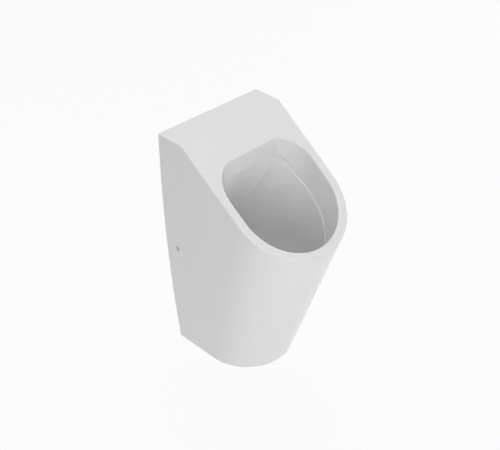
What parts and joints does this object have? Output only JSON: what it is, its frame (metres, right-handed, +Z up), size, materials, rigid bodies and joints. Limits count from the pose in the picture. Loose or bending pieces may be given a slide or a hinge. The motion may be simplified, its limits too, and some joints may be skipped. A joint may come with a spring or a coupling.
{
  "type": "wall hung urinal",
  "caption": "Wall hung ceramic urinal with a slanted half-round rim, hidden flush inlet, lift-out strainer and bottle trap inside the skirt.",
  "frame": {"origin": "on the wall plane, midway between the two hanger fixing holes", "axes": "+Z up, +Y into the wall, the front faces -Y, +X to the right as seen from the front"},
  "size_m": [0.3, 0.4113, 0.59],
  "materials": {
    "glazed_white": "glossy white glaze",
    "chromed_brass": "polished chrome",
    "brass": "turned",
    "brushed_stainless": "brushed",
    "zinc_steel": "zinc plated",
    "white_plastic": "fine moulded",
    "grey_plastic": "fine moulded",
    "dark_plastic": "fine moulded",
    "black_rubber": "matt"
  },
  "bodies": {
    "urinal": {"ceramic_body": "glazed_white", "waste_flange": "chromed_brass", "flange_gasket": "black_rubber", "underside_gasket": "black_rubber", "slip_washer": "white_plastic", "flange_nut": "brass", "union_nut": "white_plastic", "union_seal": "black_rubber", "trap_body": "white_plastic", "cup_seal": "black_rubber", "outlet_seal": "black_rubber", "outlet_nut": "white_plastic", "outlet_pipe": "grey_plastic", "inlet_pipe": "chromed_brass", "inlet_seal": "black_rubber", "wall_hanger_left": "zinc_steel", "wall_hanger_right": "zinc_steel", "hanger_pads": "black_rubber", "side_bracket_left": "zinc_steel", "side_bracket_right": "zinc_steel", "side_bushes": "dark_plastic", "side_screws": "zinc_steel", "side_nuts": "zinc_steel"},
    "dip_insert": {"dip_tube": "grey_plastic", "dip_tube_ring": "black_rubber"},
    "strainer_plate": {"strainer": "brushed_stainless", "strainer_knob": "brushed_stainless"},
    "cleaning_cup": {"trap_cup": "white_plastic"}
  },
  "joints": [
    {"name": "insert_lift", "type": "slide", "parent": "urinal", "child": "dip_insert", "axis": [0, 0, 1], "range_m": [0, 0.5]},
    {"name": "strainer_lift", "type": "slide", "parent": "dip_insert", "child": "strainer_plate", "axis": [0, 0, 1], "range_m": [0, 0.34]},
    {"name": "cup_drop", "type": "slide", "parent": "urinal", "child": "cleaning_cup", "axis": [0, 0, -1], "range_m": [0, 0.08]}
  ]
}
